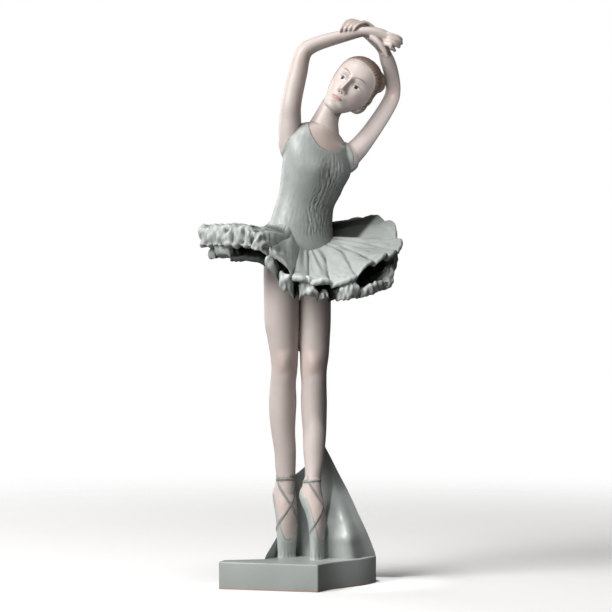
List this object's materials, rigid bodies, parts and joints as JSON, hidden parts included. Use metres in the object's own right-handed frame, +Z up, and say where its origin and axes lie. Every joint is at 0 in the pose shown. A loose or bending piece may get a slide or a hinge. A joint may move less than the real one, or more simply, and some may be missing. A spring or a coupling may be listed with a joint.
{
  "type": "ballerina figurine",
  "caption": "Ballerina en pointe with arms crossed overhead, two-layer ruffled tutu, cone support behind the legs and a low slab base, cast in one piece",
  "frame": {"origin": "on the underside of the base, below the dancer's feet", "axes": "+Z up; the straight front face of the base looks along -Y; +X to the right of someone who faces it"},
  "size_m": [0.1048, 0.0937, 0.2948],
  "materials": {
    "painted_resin": "hand-painted cast resin, satin sage dress and base, matt flesh skin"
  },
  "bodies": {
    "root": {"figurine": "painted_resin"}
  },
  "joints": []
}
